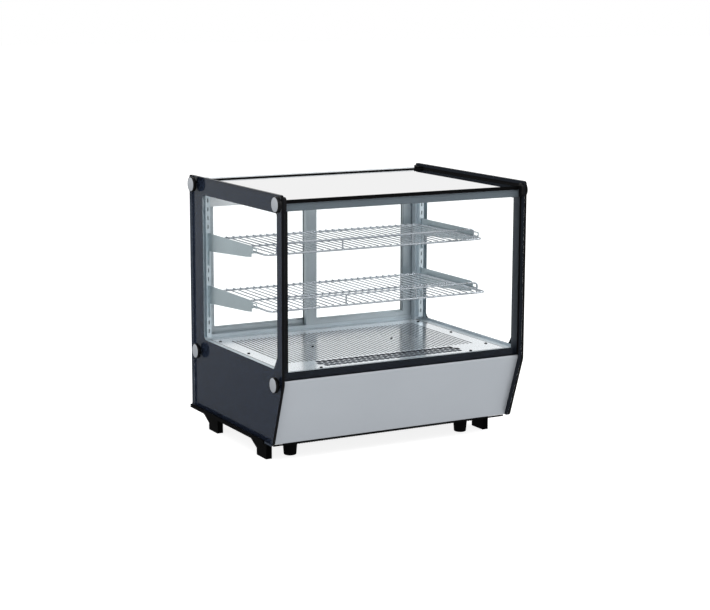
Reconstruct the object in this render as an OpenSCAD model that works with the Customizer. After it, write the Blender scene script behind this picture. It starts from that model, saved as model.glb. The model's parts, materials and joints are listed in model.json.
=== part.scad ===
// Countertop refrigerated display case: flat tempered glass on four sides,
// two wire shelves on slotted pilasters, a slotted deck over a cold well,
// a machine compartment in the base and two sliding glass doors at the back.
// +Z is up, the front glass faces -Y, and the origin is at the middle of the
// footprint, on the surface that the case stands on.

/* [Case] */
// Width over the two side glasses
case_w = 690; // [640:1:760]
// Depth of a side glass, front to back
glass_d = 537; // [520:1:600]
// Height of the side glasses' top edge
case_h = 669; // [640:1:760]
// Overall depth, from the front clamps to the cord gland
overall_d = 568; // [566:1:640]
// Height where the side glasses' front edge starts to slope back
kink_z = 213.8; // [205:0.1:220]
// How far the bottom of the front slopes back
slope_run = 57; // [30:1:70]

/* [Glass] */
// Thickness of a side glass
side_t = 7; // [5:0.5:8]
// Thickness of the front and top glasses
pane_t = 5; // [4:0.5:6]
// How far the front glass sits behind the side glasses' front edge
pane_set = 14.7; // [10:0.1:20]
// Height of the top glass's upper face
roof_z = 656.5; // [640:0.5:700]
// Thickness of a black printed border
print_t = 0.3; // [0.2:0.1:0.5]
// Bond line between a pane and its printed film
bond_t = 0.05; // [0.02:0.01:0.1]

/* [Base] */
// Clear height under the base pan
foot_h = 49.2; // [40:0.1:60]
// Height of the deck's upper face
deck_z = 237.5; // [230:0.5:245]
// Thickness of folded sheet metal
sheet_t = 1.2; // [1:0.1:1.5]

/* [Clamps] */
// Diameter of a glass clamp
clamp_d = 39; // [34:1:42]
// How far a clamp stands out from the side glass
clamp_out = 10; // [8:0.5:12]
// How far a clamp stands out from the right side glass, where they are flat
clamp_flat = 2.5; // [2.5:0.5:12]

/* [Shelves] */
// Height of the upper shelf's frame wire
upper_z = 506; // [480:1:520]
// Height of the lower shelf's frame wire
lower_z = 369; // [350:1:390]
// Spacing of the deck wires of a shelf
wire_pitch = 19.5; // [18:0.5:24]
// Number of deck wires in a shelf
wire_count = 31; // [21:2:31]

/* [Doors] */
// Width of one sliding door
door_w = 332.5; // [326:0.5:334]
// How far the right door stands open
door_ajar = 4; // [0:1:12]

/* [Hidden] */

$fn = 48;
gap = 0.3;

// Widths
glass_x = case_w / 2 - side_t;
inner_x = glass_x - print_t - 0.4;

// Depths, from the side glasses' front edge
clamp_overhang = 2.5;
front_y = -overall_d / 2 + clamp_overhang;
pane_y = front_y + pane_set;
post_y = front_y + 487;
pilaster_y = front_y + 474;
back_y = front_y + glass_d;
header_y = front_y + 540;

// Heights
pan_top = foot_h + 2;
glass_bottom = pan_top + 0.4;
pane_bottom = 221.5;
pane_top = roof_z - pane_t - 0.3;
sill_z = deck_z + 0.5;
header_z = 588;
header_top = roof_z + 5.5;

// Clamp centres as [y, z]
clamp_at = [
    [front_y + 17, case_h - 22.5],
    [front_y + 508, case_h - 22.5],
    [front_y + 31.5, 210.5],
    [front_y + 493, 210.5]
];
stud_r = 4;

// ---------------------------------------------------------------- helpers

// A block between two corners, given as [low, high] along each axis
module block(x, y, z) {
    translate([x[0], y[0], z[0]])
        cube([x[1] - x[0], y[1] - y[0], z[1] - z[0]]);
}

module both_sides() {
    children();
    mirror([1, 0, 0])
        children();
}

function unit(v) = v / norm(v);
function half_angle(a, b, c) = acos(unit(a - b) * unit(c - b)) / 2;

function wrapped(angle) = angle > 180 ? angle - 360 : angle < -180 ? angle + 360 : angle;
function arc(centre, r, start, turn, steps) =
    [for (i = [0:steps]) centre + r * [cos(start + turn * i / steps), sin(start + turn * i / steps)]];

// Points of the arc that rounds the corner at b, between its neighbours a and c
function corner(a, b, c, r) =
    let (half = half_angle(a, b, c))
    let (centre = b + r / sin(half) * unit(unit(a - b) + unit(c - b)))
    let (p = b + r / tan(half) * unit(a - b) - centre)
    let (q = b + r / tan(half) * unit(c - b) - centre)
    let (start = atan2(p[1], p[0]))
    arc(centre, r, start, wrapped(atan2(q[1], q[0]) - start), r < 8 ? 4 : 10);

// A convex outline whose corners are rounded to the given radii
module round_poly(p, r) {
    n = len(p);
    polygon([
        for (i = [0:n - 1])
            each (r[i] > 0 ? corner(p[(i + n - 1) % n], p[i], p[(i + 1) % n], r[i]) : [p[i]])
    ]);
}

// Turns an outline drawn in [y, z] into a plate between two x values
module side_plate(x) {
    translate([x[0], 0, 0])
        rotate([90, 0, 90])
            linear_extrude(x[1] - x[0])
                children();
}

// Turns an outline drawn in [y, z] into a rail along the whole inner width
module cross_rail(half_w) {
    side_plate([-half_w, half_w])
        children();
}

// A folded sheet: the outline between a path and the same path moved inwards
module folded(path, inner) {
    n = len(inner);
    polygon(concat(path, [for (i = [0:n - 1]) inner[n - 1 - i]]));
}

// An upright slot with round ends, cut downwards through a level sheet
module slot_2d(x, y0, y1, w) {
    translate([x - w / 2, y0 + w / 2])
        square([w, y1 - y0 - w]);
    translate([x, y0 + w / 2])
        circle(w / 2);
    translate([x, y1 - w / 2])
        circle(w / 2);
}

// ---------------------------------------------------------------- glass

module side_outline() {
    round_poly([
        [front_y, kink_z],
        [front_y, case_h],
        [back_y, case_h],
        [back_y, glass_bottom],
        [front_y + slope_run, glass_bottom]
    ], [30, 9, 7, 5, 10]);
}

module side_window() {
    window_bottom = deck_z + 6;
    round_poly([
        [front_y + 39.5, 275],
        [front_y + 39.5, 622.5],
        [front_y + 472, 622.5],
        [front_y + 472, window_bottom],
        [front_y + 59, window_bottom]
    ], [25, 6, 16, 16, 6]);
}

module clamp_holes_2d(r) {
    for (c = clamp_at)
        translate(c)
            circle(r);
}

module side_glass() {
    side_plate([glass_x, case_w / 2])
        difference() {
            side_outline();
            clamp_holes_2d(stud_r + 1);
        }
}

module side_glass_right() {
    color([0.75, 0.82, 0.82, 0.35])
        side_glass();
}

module side_glass_left() {
    color([0.75, 0.82, 0.82, 0.35])
        mirror([1, 0, 0])
            side_glass();
}

module side_prints() {
    color([0.12, 0.13, 0.15])
        both_sides()
            side_plate([glass_x - print_t, glass_x - bond_t])
                difference() {
                    side_outline();
                    side_window();
                    clamp_holes_2d(stud_r + 1);
                }
}

module front_glass() {
    color([0.78, 0.84, 0.84, 0.35])
        block([-inner_x, inner_x], [pane_y, pane_y + pane_t], [pane_bottom, pane_top]);
}

module front_print() {
    side_border = 18.6;
    top_border = 23;
    bottom_border = 19;
    color([0.1, 0.1, 0.11])
        translate([0, pane_y + pane_t + print_t, 0])
            rotate([90, 0, 0])
                linear_extrude(print_t - bond_t)
                    difference() {
                        translate([-inner_x, pane_bottom])
                            square([2 * inner_x, pane_top - pane_bottom]);
                        translate([-inner_x + side_border, pane_bottom + bottom_border])
                            square([
                                2 * (inner_x - side_border),
                                pane_top - pane_bottom - top_border - bottom_border
                            ]);
                    }
}

roof_y = [pane_y, front_y + 495];

module top_glass() {
    color([0.78, 0.84, 0.84, 0.35])
        block([-inner_x, inner_x], roof_y, [roof_z - pane_t, roof_z]);
}

module top_print() {
    side_border = 38;
    front_border = 25;
    rear_border = 38;
    color([0.1, 0.1, 0.11])
        translate([0, 0, roof_z - pane_t - bond_t])
            mirror([0, 0, 1])
                linear_extrude(print_t - bond_t)
                    difference() {
                        translate([-inner_x, roof_y[0] + pane_t + print_t + 0.1])
                            square([2 * inner_x, roof_y[1] - roof_y[0] - pane_t - print_t - 0.1]);
                        translate([-inner_x + side_border, roof_y[0] + front_border])
                            square([
                                2 * (inner_x - side_border),
                                roof_y[1] - roof_y[0] - front_border - rear_border
                            ]);
                    }
}

// ---------------------------------------------------------------- clamps

// Places a part at each clamp of the right glass, with its +Z pointing outwards
module at_clamps() {
    for (c = clamp_at)
        translate([case_w / 2, c[0], c[1]])
            rotate([0, 90, 0])
                children();
}

// How deep a clamp's bright cap is let into its black body
function cap_inset(out) = min(2.2, out - 1.5);

module clamp_body(out) {
    rotate_extrude()
        difference() {
            polygon([
                [stud_r + 0.3, 0.2],
                [clamp_d / 2 - 1, 0.2],
                [clamp_d / 2, 1.2],
                [clamp_d / 2, out - 0.8],
                [clamp_d / 2 - 0.8, out - 0.3],
                [stud_r + 0.3, out - 0.3]
            ]);
            translate([0, out - cap_inset(out)])
                square([clamp_d / 2 - 1.8, cap_inset(out)]);
        }
}

module clamp_bodies() {
    color([0.07, 0.07, 0.08]) {
        at_clamps()
            clamp_body(clamp_flat);
        mirror([1, 0, 0])
            at_clamps()
                clamp_body(clamp_out);
    }
}

module clamp_cap(out) {
    cap_r = clamp_d / 2 - 2;
    rotate_extrude()
        polygon([
            [0, out - cap_inset(out) + 0.1],
            [cap_r, out - cap_inset(out) + 0.1],
            [cap_r, out - 0.6],
            [cap_r - 0.6, out],
            [0, out]
        ]);
}

module clamp_caps() {
    color([0.8, 0.81, 0.82]) {
        at_clamps()
            clamp_cap(clamp_flat);
        mirror([1, 0, 0])
            at_clamps()
                clamp_cap(clamp_out);
    }
}

// The front top stud only passes through the side glass, because the front glass is behind it
module studs(out) {
    for (i = [0:3]) {
        stud_in = i == 0 ? 0 : side_t + 9;
        translate([glass_x - stud_in, clamp_at[i][0], clamp_at[i][1]])
            rotate([0, 90, 0])
                cylinder(h = side_t + stud_in + out - cap_inset(out) - 0.1, r = stud_r);
    }
}

module clamp_studs() {
    color([0.7, 0.71, 0.72]) {
        studs(clamp_flat);
        mirror([1, 0, 0])
            studs(clamp_out);
    }
}

// Blocks at the ends of the cross members, which the clamp studs screw into
module corner_blocks() {
    block_x = [inner_x - 17, inner_x - sheet_t - 0.8];
    // Extent of each block round its clamp's centre, as [y range, z range]
    extent = [
        [[3.5, 26], [-14, 4]],
        [[-9, 11], [-9.5, 6.5]],
        [[-9, 11], [-11, 8]],
        [[-5, 15], [-11, 9]]
    ];
    jaw_z = clamp_at[0][1] * [1, 1] + clamp_d / 2 * [-0.9, 0.9];
    color([0.15, 0.15, 0.16])
        both_sides() {
            for (i = [0:3]) {
                c = clamp_at[i];
                difference() {
                    block(block_x, c[0] * [1, 1] + extent[i][0], c[1] * [1, 1] + extent[i][1]);
                    if (i > 0)
                        translate([block_x[0] - 1, c[0], c[1]])
                            rotate([0, 90, 0])
                                cylinder(h = 20, r = stud_r + 0.1);
                }
            }
            // Inner jaw of the front top clamp, in front of the front glass
            side_plate([glass_x - 7.5, glass_x - print_t - gap])
                round_poly([
                    [front_y + 1, jaw_z[0]],
                    [front_y + 1, jaw_z[1]],
                    [pane_y - gap, jaw_z[1]],
                    [pane_y - gap, jaw_z[0]]
                ], [9, 9, 1.5, 1.5]);
        }
}

// ---------------------------------------------------------------- base

// How far the sloping front has moved back at a height
function slope_y(z) = (kink_z - z) * slope_run / (kink_z - glass_bottom);

module front_panel() {
    t = sheet_t;
    lean_t = t / cos(atan(slope_run / (kink_z - glass_bottom)));
    top = pane_bottom - 0.6;
    bottom = pan_top + gap;
    color([0.68, 0.7, 0.71])
        cross_rail(inner_x)
            folded([
                [pane_y + 14, top],
                [pane_y, top],
                [pane_y, kink_z],
                [pane_y + slope_y(bottom), bottom],
                [pane_y + slope_y(bottom) + 18, bottom]
            ], [
                [pane_y + 14, top - t],
                [pane_y + t, top - t],
                [pane_y + t, kink_z],
                [pane_y + slope_y(bottom + t) + lean_t, bottom + t],
                [pane_y + slope_y(bottom) + 18, bottom + t]
            ]);
}

pan_x = case_w / 2 + 4.3;
pan_y = [front_y + 98, front_y + 547.5];
lip_top = foot_h + 9.8;

module base_pan() {
    lip_t = 3.5;
    color([0.06, 0.06, 0.07]) {
        translate([0, 0, foot_h])
            linear_extrude(pan_top - foot_h)
                round_poly([
                    [-pan_x, pan_y[0]],
                    [pan_x, pan_y[0]],
                    [pan_x, pan_y[1]],
                    [-pan_x, pan_y[1]]
                ], [3, 3, 8, 8]);
        both_sides()
            side_plate([pan_x - lip_t, pan_x])
                round_poly([
                    [pan_y[0], foot_h],
                    [pan_y[0], lip_top],
                    [pan_y[1] - 7, lip_top],
                    [pan_y[1] - 7, foot_h]
                ], [4.5, 4.5, 4.5, 4.5]);
        cross_rail(pan_x - 8)
            round_poly([
                [pan_y[1] - lip_t, foot_h],
                [pan_y[1] - lip_t, lip_top],
                [pan_y[1], lip_top],
                [pan_y[1], foot_h]
            ], [0, 1.5, 1.5, 1.5]);
    }
}

// Slotted strip under the front edge that lets the condenser's air in, with a toothed lip
module intake_grille() {
    half_w = 286;
    pitch = 14;
    count = 20;
    lip_t = 1.4;
    lip_z = [foot_h - 2.2, pan_top - 0.2];
    grille_y = [front_y + slope_run + pane_set + 0.3, pan_y[0] - 0.5];
    color([0.05, 0.05, 0.06]) {
        difference() {
            block([-half_w, half_w], grille_y, [foot_h, pan_top - 0.6]);
            for (i = [-count:count])
                translate([0, 0, foot_h - 1])
                    linear_extrude(4)
                        slot_2d(i * pitch, grille_y[0] + 6, grille_y[1] - 3, 7);
        }
        block([-half_w - 48, half_w + 48], grille_y[0] * [1, 1] + [0, lip_t], lip_z);
        for (i = [-2 * count:2 * count - 1])
            block(
                (i + 0.5) * pitch / 2 * [1, 1] + [-2, 2],
                grille_y[0] * [1, 1] + [0, lip_t],
                [lip_z[0] - 0.9, lip_z[0] + 0.2]
            );
    }
}

module foot_outline(y0) {
    height = foot_h - 0.02;
    round_poly([
        [y0, 0],
        [y0, height],
        [y0 + 117, height],
        [y0 + 55, 17],
        [y0 + 55, 0]
    ], [2, 0, 0, 0, 3]);
}

module bracket_feet() {
    color([0.05, 0.05, 0.05])
        both_sides()
            for (y0 = [front_y + 130, front_y + 420])
                side_plate([309.5, 325])
                    foot_outline(y0);
}

module round_feet() {
    color([0.06, 0.06, 0.06])
        for (x = [-250, 250], y = [front_y + 149, front_y + 455])
            translate([x, y, 0])
                rotate_extrude()
                    polygon([
                        [0, 0],
                        [13.5, 0],
                        [15.2, 0.8],
                        [16, 2.4],
                        [19.5, foot_h - 6],
                        [19.5, foot_h - 0.02],
                        [0, foot_h - 0.02]
                    ]);
}

rim_t = 1.2;

module chassis_plate() {
    face_y = pane_y + sheet_t + 0.6;
    bottom = pan_top + 0.3;
    side_plate([inner_x - sheet_t, inner_x])
        difference() {
            polygon([
                [face_y + slope_y(bottom + 3) + 0.6, bottom + 3],
                [face_y + 0.2, kink_z],
                [face_y + 0.2, pane_bottom - 3],
                [pane_y + 15, pane_bottom - 3],
                [pane_y + 15, deck_z - rim_t - 0.3],
                [post_y - 1, deck_z - rim_t - 0.3],
                [post_y - 1, 221],
                [front_y + 536, 221],
                [front_y + 536, bottom],
                [pan_y[0] + 2, bottom],
                [pan_y[0] + 2, bottom + 3]
            ]);
            clamp_holes_2d(stud_r + 1);
        }
}

module chassis_left() {
    color([0.6, 0.62, 0.63])
        mirror([1, 0, 0])
            chassis_plate();
}

module chassis_right() {
    color([0.6, 0.62, 0.63])
        chassis_plate();
}

// ---------------------------------------------------------------- cold well and deck

// The well's inner space, the ledge that the deck stands on, and the deck
well_x = 300;
well_y = [front_y + 64, front_y + 470];
well_floor = 192;
ledge_z = 226;
deck_x = 311.8;
deck_y = [front_y + 39.8, front_y + 482.5];
seam = 2.2;

module well_insulation() {
    color([0.88, 0.87, 0.8])
        difference() {
            block([-315, 315], [front_y + 47, front_y + 485], [170, ledge_z - rim_t - 0.3]);
            block(
                [-well_x - rim_t - gap, well_x + rim_t + gap],
                [well_y[0] - rim_t - gap, well_y[1] + rim_t + gap],
                [well_floor - rim_t - gap, ledge_z]
            );
        }
}

module well_liner() {
    wall = rim_t;
    step_x = deck_x + seam;
    step_y = [deck_y[0] - seam, deck_y[1] + seam];
    color([0.8, 0.82, 0.83])
        difference() {
            union() {
                block(
                    [-inner_x, inner_x],
                    [pane_y + pane_t + 0.6, post_y - 0.4],
                    [deck_z - wall, deck_z]
                );
                block(
                    [-step_x - wall, step_x + wall],
                    [step_y[0] - wall, step_y[1] + wall],
                    [ledge_z - wall, deck_z]
                );
                block(
                    [-well_x - wall, well_x + wall],
                    [well_y[0] - wall, well_y[1] + wall],
                    [well_floor - wall, ledge_z]
                );
            }
            block([-step_x, step_x], step_y, [ledge_z, deck_z + 1]);
            block([-well_x, well_x], well_y, [well_floor, deck_z + 1]);
        }
    // Upstands against the side glasses
    color([0.8, 0.82, 0.83])
        both_sides()
            block(
                [inner_x - sheet_t, inner_x],
                [pane_y + pane_t + 0.6, post_y - 0.4],
                [deck_z - wall, deck_z + 5.8]
            );
}

// Screw centres on the deck
deck_screws = [
    [300, front_y + 108],
    [300, front_y + 280],
    [300, front_y + 452],
    [215, front_y + 47.5],
    [117, front_y + 282]
];
screw_r = 2;

// Slots that run front to back, where the return air goes down
slot_pitch = 11.75;
slot_half_count = 23;

module deck_slots_2d() {
    slot_w = 4.4;
    start = front_y + 127;
    end = front_y + 444;
    for (i = [-slot_half_count:slot_half_count]) {
        x = i * slot_pitch;
        if (abs(abs(x) - deck_screws[4][0]) < 8) {
            slot_2d(x, start, deck_screws[4][1] - 10, slot_w);
            slot_2d(x, deck_screws[4][1] + 10, end, slot_w);
        } else {
            slot_2d(x, start, end, slot_w);
        }
    }
}

// Three staggered rows of holes that the cold air comes up through
module air_outlet_2d() {
    pitch = 15.2;
    row_step = 21.5;
    hole_w = 14;
    hole_len = 22;
    mid_y = front_y + 87;
    for (row = [-1:1]) {
        count = row == 0 ? 27 : 26;
        for (i = [0:count - 1])
            slot_2d(
                (i - (count - 1) / 2) * pitch,
                mid_y + row * row_step - hole_len / 2,
                mid_y + row * row_step + hole_len / 2,
                hole_w
            );
    }
}

module deck_plate() {
    skirt_z = ledge_z + 0.1;
    color([0.82, 0.83, 0.84]) {
        translate([0, 0, deck_z - sheet_t])
            linear_extrude(sheet_t)
                difference() {
                    translate([-deck_x, deck_y[0]])
                        square([2 * deck_x, deck_y[1] - deck_y[0]]);
                    deck_slots_2d();
                    air_outlet_2d();
                    for (side = [-1, 1], s = deck_screws)
                        translate([side * s[0], s[1]])
                            circle(screw_r + 0.3);
                }
        difference() {
            block([-deck_x, deck_x], deck_y, [skirt_z, deck_z - sheet_t + 0.2]);
            block(
                [-deck_x + sheet_t, deck_x - sheet_t],
                deck_y + [sheet_t, -sheet_t],
                [skirt_z - 1, deck_z]
            );
        }
    }
}

panel_y = front_y + 537.5;
panel_screws = [
    [-326, 74], [-326, 206], [0, 212], [0, 68], [326, 74], [326, 206]
];

module pan_head_screw(length) {
    head_r = 4;
    rotate_extrude()
        polygon([
            [0, -length],
            [screw_r, -length],
            [screw_r, 0.05],
            [head_r, 0.05],
            [head_r, 0.9],
            [head_r - 0.8, 1.7],
            [1.2, 2],
            [1.2, 1.1],
            [0, 1.1]
        ]);
}

module case_screws() {
    color([0.5, 0.51, 0.52]) {
        for (side = [-1, 1], s = deck_screws)
            translate([side * s[0], s[1], deck_z])
                pan_head_screw(8);
        for (s = panel_screws)
            translate([s[0], panel_y + sheet_t, s[1]])
                rotate([-90, 0, 0])
                    pan_head_screw(5);
    }
}

// ---------------------------------------------------------------- rear frame

post_top = header_z - 0.5;
post_inner = 309;
leg_inner = 317.6;
channel_t = 1.5;

// Folded post: a front leaf, a return at its inner edge and a leg to the back
module rear_post() {
    t = channel_t;
    translate([0, 0, sill_z + 0.3])
        linear_extrude(post_top - sill_z - 0.3)
            polygon([
                [inner_x, post_y],
                [post_inner, post_y],
                [post_inner, front_y + 505],
                [leg_inner, front_y + 505],
                [leg_inner, header_y],
                [inner_x, header_y],
                [inner_x, header_y - t],
                [leg_inner + t, header_y - t],
                [leg_inner + t, front_y + 505 - t],
                [post_inner + t, front_y + 505 - t],
                [post_inner + t, post_y + t],
                [inner_x, post_y + t]
            ]);
}

module rear_post_right() {
    color([0.55, 0.58, 0.6])
        rear_post();
}

module rear_post_left() {
    color([0.55, 0.58, 0.6])
        mirror([1, 0, 0])
            rear_post();
}

// The slots of a pilaster are spaced so that both shelves' hooks find one
bracket_x = 321.5;
bracket_t = 1.6;
hook_pitch = (upper_z - lower_z) / 6;
hook_up = 9;
hook_drop = 3 * hook_pitch;
slot_h = 11;

module pilaster() {
    t = channel_t;
    face_x = [315, 328];
    base_z = sill_z + 8;
    depth = post_y - pilaster_y - 0.2;
    top_z = 640;
    hook_z = upper_z + hook_up;
    first = ceil((base_z + slot_h - hook_z) / hook_pitch);
    last = floor((top_z - slot_h - hook_z) / hook_pitch);
    difference() {
        block(face_x, [pilaster_y, pilaster_y + depth], [base_z, top_z]);
        block(
            face_x + [t, -t],
            [pilaster_y + t, pilaster_y + depth + 1],
            [base_z - 1, top_z + 1]
        );
        for (i = [first:last])
            translate([bracket_x, pilaster_y - 1, hook_z + i * hook_pitch])
                rotate([-90, 0, 0])
                    linear_extrude(t + 2)
                        slot_2d(0, -slot_h / 2, slot_h / 2, 2.6);
    }
}

module pilaster_right() {
    color([0.62, 0.66, 0.68])
        pilaster();
}

module pilaster_left() {
    color([0.62, 0.66, 0.68])
        mirror([1, 0, 0])
            pilaster();
}

// Ribs that guide the two doors, as [low, high] depths
door_t = 12;
track_y = [front_y + 507.5, front_y + 523.5];
ribs_y = [
    [track_y[0] - 3, track_y[0] - 1],
    [track_y[0] + door_t + 1, track_y[1] - 1],
    [track_y[1] + door_t + 1, track_y[1] + door_t + 3]
];
rib_x = [post_inner - 0.4, leg_inner - 0.4, leg_inner - 0.4];
door_z = [sill_z + 1, 608];

module rear_header() {
    t = channel_t;
    step_y = front_y + 495.6;
    rear = header_y + 1;
    low = roof_z - pane_t - 0.6;
    color([0.72, 0.74, 0.76]) {
        cross_rail(inner_x)
            folded([
                [post_y, header_z],
                [post_y, low],
                [step_y, low],
                [step_y, header_top],
                [rear, header_top],
                [rear, header_z + 2]
            ], [
                [post_y + t, header_z],
                [post_y + t, low - t],
                [step_y + t, low - t],
                [step_y + t, header_top - t],
                [rear - t, header_top - t],
                [rear - t, header_z + 2]
            ]);
        for (i = [0:2])
            block([-rib_x[i], rib_x[i]], ribs_y[i], [door_z[1] - 9, header_top - t + 0.2]);
    }
}

module door_sill() {
    sill_y = [post_y - 0.1, header_y + 1];
    color([0.62, 0.64, 0.66]) {
        difference() {
            block([-inner_x, inner_x], sill_y, [222, sill_z]);
            block([-inner_x - 1, inner_x + 1], sill_y + [2, -2], [221, sill_z - 2]);
        }
        for (i = [0:2])
            block([-rib_x[i], rib_x[i]], ribs_y[i], [sill_z - 0.2, sill_z + 9]);
    }
}

// ---------------------------------------------------------------- doors

stile_w = 30;
rail_low = 21;
rail_top = 20;
door_pane_t = 5;
groove = 8;

// One sliding door's frame, from its low x corner
module door_frame(x0, y0) {
    grip_w = 11;
    grip_h = 110;
    grip_z = 420;
    window = [x0 + stile_w, x0 + door_w - stile_w];
    window_z = [door_z[0] + rail_low, door_z[1] - rail_top];
    pane_y0 = y0 + (door_t - door_pane_t) / 2;
    grip_x = x0 < -door_w / 2 ? x0 + 9 : x0 + door_w - 9 - grip_w;
    difference() {
        block([x0, x0 + door_w], [y0, y0 + door_t], door_z);
        block(window, [y0 - 1, y0 + door_t + 1], window_z);
        block(
            window + [-groove, groove],
            [pane_y0 - gap, pane_y0 + door_pane_t + gap],
            window_z + [-groove, groove]
        );
        block(
            [grip_x, grip_x + grip_w],
            [y0 + door_t - 2.4, y0 + door_t + 1],
            [grip_z, grip_z + grip_h]
        );
    }
}

module door_pane(x0, y0) {
    inset = groove - 0.5;
    pane_y0 = y0 + (door_t - door_pane_t) / 2;
    block(
        [x0 + stile_w - inset, x0 + door_w - stile_w + inset],
        [pane_y0, pane_y0 + door_pane_t],
        [door_z[0] + rail_low - inset, door_z[1] - rail_top + inset]
    );
}

left_door_x = -leg_inner + 1;
right_door_x = leg_inner - 1 - door_w - door_ajar;

module door_left_frame() {
    color([0.56, 0.6, 0.62])
        door_frame(left_door_x, track_y[1]);
}

module door_left_glass() {
    color([0.8, 0.86, 0.86, 0.35])
        door_pane(left_door_x, track_y[1]);
}

module door_right_frame() {
    color([0.56, 0.6, 0.62])
        door_frame(right_door_x, track_y[0]);
}

module door_right_glass() {
    color([0.8, 0.86, 0.86, 0.35])
        door_pane(right_door_x, track_y[0]);
}

// ---------------------------------------------------------------- shelves

shelf_back = front_y + 466;
frame_r = 2.5;

// Tapered plate bracket with hooks at the back and a wire stop at the front
module shelf_bracket(z) {
    plate = [bracket_x - bracket_t / 2, bracket_x + bracket_t / 2];
    rear = pilaster_y - 0.5;
    hook_y = [rear - 1, pilaster_y + channel_t + 5];
    tab_z = [z - frame_r - 1.8, z - frame_r - 0.2];
    side_plate(plate)
        difference() {
            union() {
                polygon([
                    [front_y + 212, z + 13],
                    [front_y + 215, z + 16],
                    [rear, z + 16],
                    [rear, z - 68],
                    [rear - 7.5, z - 68],
                    [rear - 8.5, z - 31],
                    [front_y + 240, z - 15],
                    [front_y + 215, z - 12]
                ]);
                for (hook_z = [z + hook_up, z + hook_up - hook_drop])
                    polygon([
                        [hook_y[0], hook_z + 4],
                        [hook_y[1], hook_z + 4],
                        [hook_y[1], hook_z - 5],
                        [hook_y[1] - 3, hook_z - 5],
                        [hook_y[1] - 3, hook_z - 2],
                        [hook_y[0], hook_z - 2]
                    ]);
                round_poly([
                    [front_y + 184, z],
                    [front_y + 184, z + 12.5],
                    [front_y + 216, z + 12.5],
                    [front_y + 216, z]
                ], [3, 3, 0, 0]);
            }
            round_poly([
                [front_y + 187, z + 2.5],
                [front_y + 187, z + 10],
                [front_y + 207, z + 10],
                [front_y + 207, z + 2.5]
            ], [3, 3, 3, 3]);
        }
    for (y0 = [front_y + 218, front_y + 430])
        block([bracket_x - 14, bracket_x], [y0, y0 + 20], tab_z);
}

module bracket_upper_right() {
    color([0.68, 0.72, 0.74])
        shelf_bracket(upper_z);
}

module bracket_upper_left() {
    color([0.68, 0.72, 0.74])
        mirror([1, 0, 0])
            shelf_bracket(upper_z);
}

module bracket_lower_right() {
    color([0.68, 0.72, 0.74])
        shelf_bracket(lower_z);
}

module bracket_lower_left() {
    color([0.68, 0.72, 0.74])
        mirror([1, 0, 0])
            shelf_bracket(lower_z);
}

// A quarter bend of round wire in the XY plane, from +X round to +Y
module wire_bend(bend_r, wire_r) {
    rotate_extrude(angle = 90)
        translate([bend_r, 0])
            circle(wire_r);
}

module x_wire(x, y, z, r) {
    translate([x[0], y, z])
        rotate([0, 90, 0])
            cylinder(h = x[1] - x[0], r = r);
}

module y_wire(x, y, z, r) {
    translate([x, y[0], z])
        rotate([-90, 0, 0])
            cylinder(h = y[1] - y[0], r = r);
}

// Welded wire shelf: a bent frame, a middle wire, deck wires and a front fence
module wire_shelf(z, front) {
    half_w = 312;
    bend = 16;
    deck_r = 1.4;
    deck_up = frame_r + deck_r - 0.6;
    fence_z = z + 27;
    fence_x = 284;
    fence_r = 1.9;
    fence_bend = 8;
    x_wire([-half_w + bend, half_w - bend], front, z, frame_r);
    x_wire([-half_w + bend, half_w - bend], shelf_back, z, frame_r);
    x_wire([-half_w, half_w], front + 0.5 * (shelf_back - front), z, frame_r - 0.3);
    both_sides() {
        y_wire(half_w, [front + bend, shelf_back - bend], z, frame_r);
        translate([half_w - bend, shelf_back - bend, z])
            wire_bend(bend, frame_r);
        translate([half_w - bend, front + bend, z])
            mirror([0, 1, 0])
                wire_bend(bend, frame_r);
        translate([fence_x - fence_bend, front, fence_z - fence_bend])
            rotate([90, 0, 0])
                wire_bend(fence_bend, fence_r);
        for (x = [101, fence_x])
            translate([x, front, z])
                cylinder(h = fence_z - z - (x == fence_x ? fence_bend : 0), r = fence_r);
    }
    x_wire([-fence_x + fence_bend, fence_x - fence_bend], front, fence_z, fence_r);
    for (i = [-(wire_count - 1) / 2:(wire_count - 1) / 2])
        y_wire(i * wire_pitch, [front - 1, shelf_back + 4], z + deck_up, deck_r);
}

module shelf_upper() {
    color([0.8, 0.82, 0.84])
        wire_shelf(upper_z, front_y + 150);
}

module shelf_lower() {
    color([0.8, 0.82, 0.84])
        wire_shelf(lower_z, front_y + 131);
}

// ---------------------------------------------------------------- lamp

lamp_y = [front_y + 26, front_y + 44];

module lamp_housing() {
    lamp_z = [638, roof_z - pane_t - print_t - 0.3];
    color([0.78, 0.79, 0.8])
        difference() {
            block([-300, 300], lamp_y, lamp_z);
            block([-299, 299], lamp_y + [1.5, -1.5], [lamp_z[0] - 1, lamp_z[1] - 3]);
        }
}

module lamp_lens() {
    color([0.95, 0.95, 0.92])
        cross_rail(298.8)
            round_poly([
                [lamp_y[0] + 1.8, 634.5],
                [lamp_y[0] + 1.8, 641],
                [lamp_y[1] - 1.8, 641],
                [lamp_y[1] - 1.8, 634.5]
            ], [4, 0, 0, 4]);
}

// ---------------------------------------------------------------- rear service panel

panel_face = panel_y + sheet_t;
control_z = 182;
controller_x = -230;
switch_x = [-160, -134];
gland_at = [-292, 92];
gland_r = 4.2;

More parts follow.
